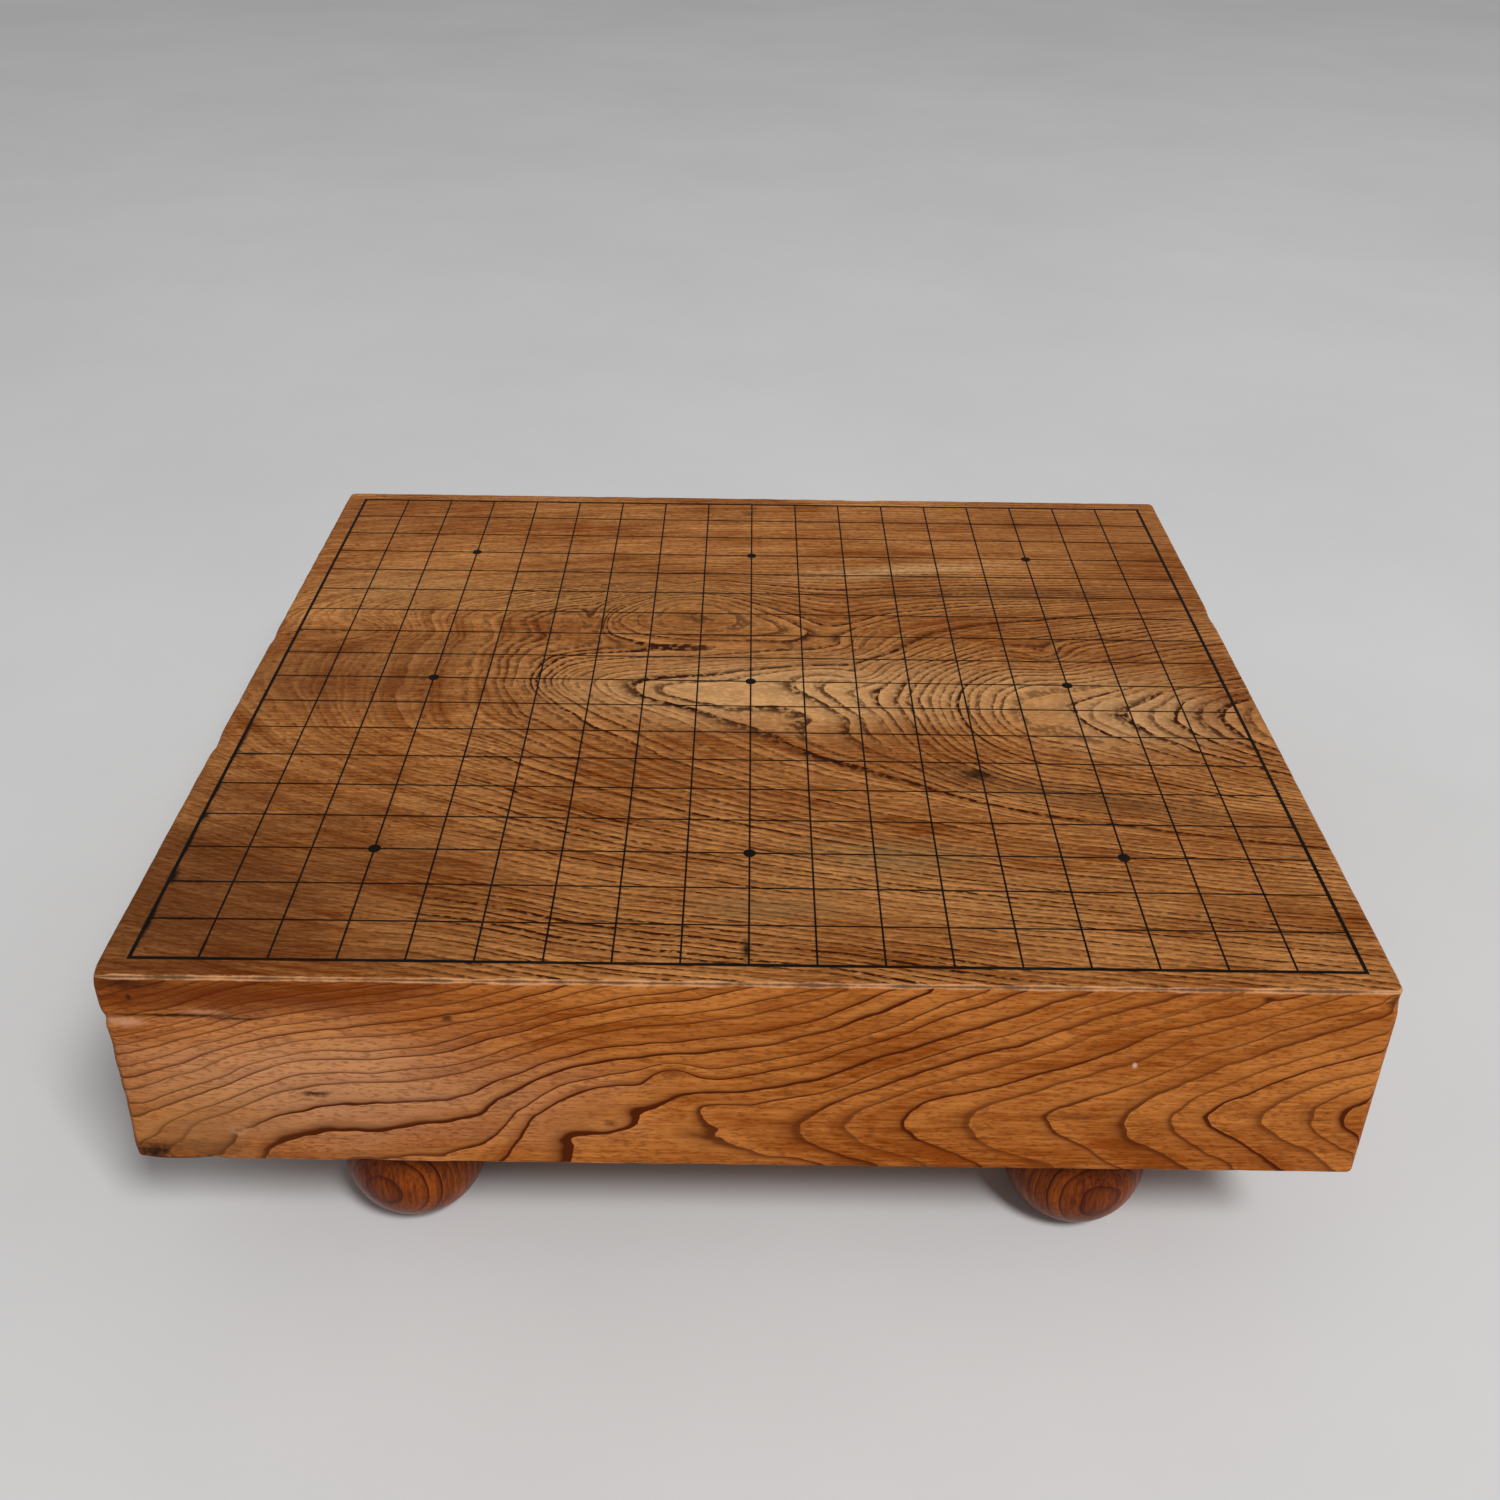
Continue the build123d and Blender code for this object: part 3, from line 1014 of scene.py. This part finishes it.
            # the upper front edge is marked more rubbed than the rest: its extra pale is a painted highlight
            highlight_front_edge = spot.z > TOP - self.front_highlight_reach and spot.y < BLOCK_LOW.y + self.front_highlight_reach
            rubbed.data[vertex.index].value = edge * (self.rub_and_highlight_front if highlight_front_edge else self.rub_others)
            hollows = 0.5 + 0.5 * noise.noise(spot / self.hollow_size)
            waves = 0.5 + 0.5 * noise.noise(spot / self.wave_size + Vector((3, 1, 4)))
            flat_face = min(1.0, near[1] / self.flat_from)
            depth = edge ** 2 * (0.10 + 0.9 * hollows ** 3)
            place = (spot - Vector((0, 0, TOP))) / MM
            depth += (0.6 + 0.8 * hollows) * sum(scar.sink(place) for scar in SCARS)
            if UNDERSIDE + 10 * SAME < spot.z < TOP - 10 * SAME:
                depth += flat_face * self.wave_depth * waves
            else:               # the outline of the two big level faces has to stay level
                depth *= min(1.0, max(0.0, (self.level_from - near[1]) / self.level_fade))
            worn.extend(spot - vertex.normal * depth * MM)
        block.data.vertices.foreach_set("co", worn)
        block.data.update()

    def mortise_cutter(self, place: Vector) -> bpy.types.Object:
        """A round cutter with a flared mouth.

        Args:
            place: a point on the foot's axis.

        Returns:
            The cutter, in place.
        """
        sink = self.mouth_chamfer
        height = self.mortise_depth + sink
        bpy.ops.object.select_all(action="DESELECT")
        bpy.ops.mesh.primitive_cylinder_add(
            vertices=self.facets, radius=self.mortise_radius, depth=height,
            location=(place.x, place.y, UNDERSIDE - sink + height / 2),
        )
        cutter = bpy.context.object
        settle(cutter)
        edit(cutter)
        bpy.ops.mesh.select_all(action="SELECT")
        bpy.ops.mesh.bisect(plane_co=(place.x, place.y, UNDERSIDE + sink), plane_no=(0, 0, 1))
        pick(cutter, Pick.FACES, lambda f: f.normal.z < -0.99)
        flare = 1 + 2 * sink / self.mortise_radius
        bpy.ops.transform.resize(value=(flare, flare, 1), center_override=(place.x, place.y, UNDERSIDE))
        leave()
        return cutter

    def hollow_cutter(self) -> bpy.types.Object:
        """A square cutter with a pyramid sunk into its top.

        Returns:
            The cutter, in place.
        """
        sink = self.pyramid_sink
        height = self.hollow_depth + sink
        bpy.ops.object.select_all(action="DESELECT")
        bpy.ops.mesh.primitive_cube_add(size=1, location=(0, 0, UNDERSIDE - sink + height / 2))
        cutter = bpy.context.object
        cutter.scale = (self.hollow_side, self.hollow_side, height)
        settle(cutter)
        edit(cutter)
        pick(cutter, Pick.FACES, lambda f: f.normal.z > 0.99)
        bpy.ops.mesh.inset(thickness=self.pyramid_foot_gap)
        down = self.hollow_depth - sink
        bpy.ops.mesh.extrude_region_move(TRANSFORM_OT_translate={"value": (0, 0, -down)})
        shrink = self.pyramid_top_side / (self.hollow_side - 2 * self.pyramid_foot_gap)
        bpy.ops.transform.resize(value=(shrink, shrink, 1), center_override=(0, 0, UNDERSIDE + sink))
        leave()
        return cutter


@dataclass
class Foot:
    """A turned foot: a ball on a small flat, a flaring neck, a shoulder and a tenon."""

    ball_radius: float = 28.25 * MM
    flat_radius: float = 12.0 * MM
    neck_radius: float = 15.5 * MM
    shoulder_radius: float = 19.5 * MM
    rim: float = 2.0 * MM
    tenon_radius: float = 15.0 * MM
    tenon_length: float = 28.0 * MM
    tip_chamfer: float = 1.5 * MM
    flare_steps: int = 5
    flare_bend: float = 1.4             # above 1, hollow
    facets: int = 64

    @property
    def ball_middle(self) -> float:
        """Height of the ball's middle above the floor."""
        return math.sqrt(self.ball_radius ** 2 - self.flat_radius ** 2)

    @property
    def neck_height(self) -> float:
        """Height at which the neck leaves the ball."""
        return self.ball_middle + math.sqrt(self.ball_radius ** 2 - self.neck_radius ** 2)

    def build(self, node: str, body: str, material: bpy.types.Material) -> bpy.types.Object:
        """Builds one foot where its node is.

        Args:
            node: the construction model's node.
            body: the body that it rides on.
            material: the stained wood.

        Returns:
            The finished foot.
        """
        low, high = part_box(node)
        axis = Vector(((low.x + high.x) / 2, (low.y + high.y) / 2, 0.0))
        foot = self.ball(axis)
        foot.name = node.replace("foot", "turned_foot")
        edit(foot)
        self.neck(foot, axis)
        self.tenon(foot, axis)
        leave()
        alone(foot)
        bpy.ops.object.shade_smooth_by_angle(angle=CREASE)
        dress(foot, material)
        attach(foot, body)
        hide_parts(node)
        return foot

    def ball(self, axis: Vector) -> bpy.types.Object:
        """Makes the ball, cut flat below and level above, where the neck begins.

        Args:
            axis: the foot's axis, at the floor.

        Returns:
            The ball, in place.
        """
        bpy.ops.object.select_all(action="DESELECT")
        bpy.ops.mesh.primitive_uv_sphere_add(
            segments=self.facets, ring_count=self.facets, radius=self.ball_radius,
            location=(axis.x, axis.y, self.ball_middle),
        )
        foot = bpy.context.object
        settle(foot)
        edit(foot)
        bpy.ops.mesh.select_all(action="SELECT")
        bpy.ops.mesh.bisect(plane_co=axis, plane_no=(0, 0, 1), use_fill=True, clear_inner=True)
        bpy.ops.mesh.select_all(action="SELECT")
        bpy.ops.mesh.bisect(plane_co=axis + Vector((0, 0, self.neck_height)), plane_no=(0, 0, 1),
                            use_fill=True, clear_outer=True)
        leave()
        return foot

    def raise_top(self, foot: bpy.types.Object, axis: Vector, height: float, was: float, now: float) -> None:
        """Extrudes the top face and scales it.

        Args:
            foot: the foot, in edit mode.
            axis: its axis, at the floor.
            height: where the new top face lies.
            was: radius of the old top face.
            now: radius of the new one.
        """
        top = max(v.co.z for v in bmesh.from_edit_mesh(foot.data).verts)
        pick(foot, Pick.FACES, lambda f: all(abs(v.co.z - top) < SAME for v in f.verts))
        bpy.ops.mesh.extrude_region_move(TRANSFORM_OT_translate={"value": (0, 0, height - top)})
        bpy.ops.transform.resize(value=(now / was, now / was, 1),
                                 center_override=(axis.x, axis.y, height))

    def neck(self, foot: bpy.types.Object, axis: Vector) -> None:
        """Raises the neck, which flares in a shallow hollow curve to the shoulder's rim.

        Args:
            foot: the foot, in edit mode.
            axis: its axis, at the floor.
        """
        rim_low = UNDERSIDE - self.rim
        radius = self.neck_radius
        for i in range(1, self.flare_steps + 1):
            share = i / self.flare_steps
            wide = self.neck_radius + (self.shoulder_radius - self.neck_radius) * share ** self.flare_bend
            self.raise_top(foot, axis, self.neck_height + (rim_low - self.neck_height) * share, radius, wide)
            radius = wide
        self.raise_top(foot, axis, UNDERSIDE, radius, radius)

    def tenon(self, foot: bpy.types.Object, axis: Vector) -> None:
        """Raises the tenon above the shoulder and chamfers its tip.

        Args:
            foot: the foot, in edit mode.
            axis: its axis, at the floor.
        """
        tip = UNDERSIDE + self.tenon_length
        self.raise_top(foot, axis, UNDERSIDE, self.shoulder_radius, self.tenon_radius)
        self.raise_top(foot, axis, tip - self.tip_chamfer, self.tenon_radius, self.tenon_radius)
        self.raise_top(foot, axis, tip, self.tenon_radius, self.tenon_radius - self.tip_chamfer)


@dataclass(frozen=True)
class Grid:
    """The lacquered grid, three films whose meshes are right as the construction model has them."""

    nodes: tuple[str, ...] = ("border_line", "grid_lines", "star_points")

    def build(self, material: bpy.types.Material) -> None:
        """Dresses the films.

        Args:
            material: the lacquer.
        """
        for node in self.nodes:
            dress(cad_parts[node], material)
            log.info("%s dressed", node)


@dataclass
class Studio:
    """The pale floor, the soft light and the camera at the photograph's angle."""

    floor_side: float = 14.0
    sky: float = 0.38
    lamp_at: Vector3 = (1.8, -3.2, 4.3)
    lamp_side: float = 1.2
    lamp_power: float = 250.0
    lens: float = 38.56                     # mm on a 36 mm sensor
    eye: Vector3 = (-0.00267, -0.62817, 0.5032)
    heading: float = -0.255                 # degrees
    tilt: float = 58.005
    roll: float = 0.878

    def build(self) -> None:
        """Sets up floor, light and camera."""
        self.floor()
        self.light()
        self.camera()

    def floor(self) -> None:
        """A wide level floor."""
        bpy.ops.object.select_all(action="DESELECT")
        bpy.ops.mesh.primitive_plane_add(size=self.floor_side, location=(0, 0, 0))
        floor = bpy.context.object
        floor.name = "studio_floor"
        dress(floor, Concrete().build())

    def light(self) -> None:
        """An even pale sky and one wide lamp, high in front and a little to the right."""
        world = bpy.data.worlds.new("soft_sky")
        world.use_nodes = True
        background = world.node_tree.nodes["Background"]
        background.inputs["Color"].default_value = (1.0, 1.0, 1.0, 1.0)
        background.inputs["Strength"].default_value = self.sky
        bpy.context.scene.world = world
        lamp = bpy.data.lights.new("wide_window", "AREA")
        lamp.size = self.lamp_side
        lamp.energy = self.lamp_power
        window = bpy.data.objects.new("wide_window", lamp)
        bpy.context.scene.collection.objects.link(window)
        window.location = self.lamp_at
        window.rotation_mode = "QUATERNION"
        window.rotation_quaternion = (-Vector(self.lamp_at)).to_track_quat("-Z", "Y")

    def camera(self) -> None:
        """The camera, standing in front of the board and looking down on it."""
        lens = bpy.data.cameras.new("photograph")
        lens.lens = self.lens
        lens.sensor_width = 36.0
        lens.clip_start = 0.01
        camera = bpy.data.objects.new("photograph", lens)
        bpy.context.scene.collection.objects.link(camera)
        camera.matrix_world = (
            Matrix.Translation(self.eye)
            @ Matrix.Rotation(math.radians(self.heading), 4, "Z")
            @ Matrix.Rotation(math.radians(self.tilt), 4, "X")
            @ Matrix.Rotation(math.radians(self.roll), 4, "Z")
        )
        bpy.context.scene.camera = camera


BLOCK_WOOD = Zelkova(
    name="oiled_zelkova",
    growth=Growth(swells=TOP_SWELLS + FRONT_SWELLS),
    surface=Tones(middle="#83420D", light="#CE8D50", dark="#341202"),
    sides=Tones(middle="#8A430D", light="#C27838", dark="#4C1C03"),
    roughness=0.48, gloss=0.03, stains=BLOCK_STAINS, worn=True,
    calms=(Onset((0, 1, 0), 95.0, 0.5), Onset((-1, 0, 0), 95.0, 0.45)),
    doubles=(Onset((-0.94, 0.34, 0), 40.0, 1.0),),
)
FOOT_WOOD = Zelkova(
    name="stained_zelkova",
    growth=Growth(ring_width=3.2, oval=1.0, pith_y=320.0, pith_skew=0.0, pith_z=0.0, pith_dip=0.0, taper=0.0),
    surface=Tones(middle="#561E05", light="#94480F", dark="#3D1303"),
    sides=Tones(middle="#561E05", light="#94480F", dark="#3D1303"),
    roughness=0.3, gloss=0.09, grain_upright=True,
)
FEET = {
    "foot_front_left": "front_left_foot",
    "foot_front_right": "front_right_foot",
    "foot_back_left": "back_left_foot",
    "foot_back_right": "back_right_foot",
}


def main() -> None:
    """Builds the studio and every piece, and reports each."""
    bpy.context.scene.view_settings.view_transform = "Standard"
    Studio().build()
    stained = FOOT_WOOD.build()
    places = []
    for node, body in FEET.items():
        foot = Foot().build(node, body, stained)
        low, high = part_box(node)
        places.append((low + high) / 2)
        log.info("%s: %d faces", foot.name, len(foot.data.polygons))
    block = Block().build(BLOCK_WOOD.build(), places)
    log.info("%s: %d faces", block.name, len(block.data.polygons))
    Grid().build(Lacquer().build())


if __name__ == "__main__":
    logging.basicConfig(level=logging.INFO, format="%(message)s")
    main()
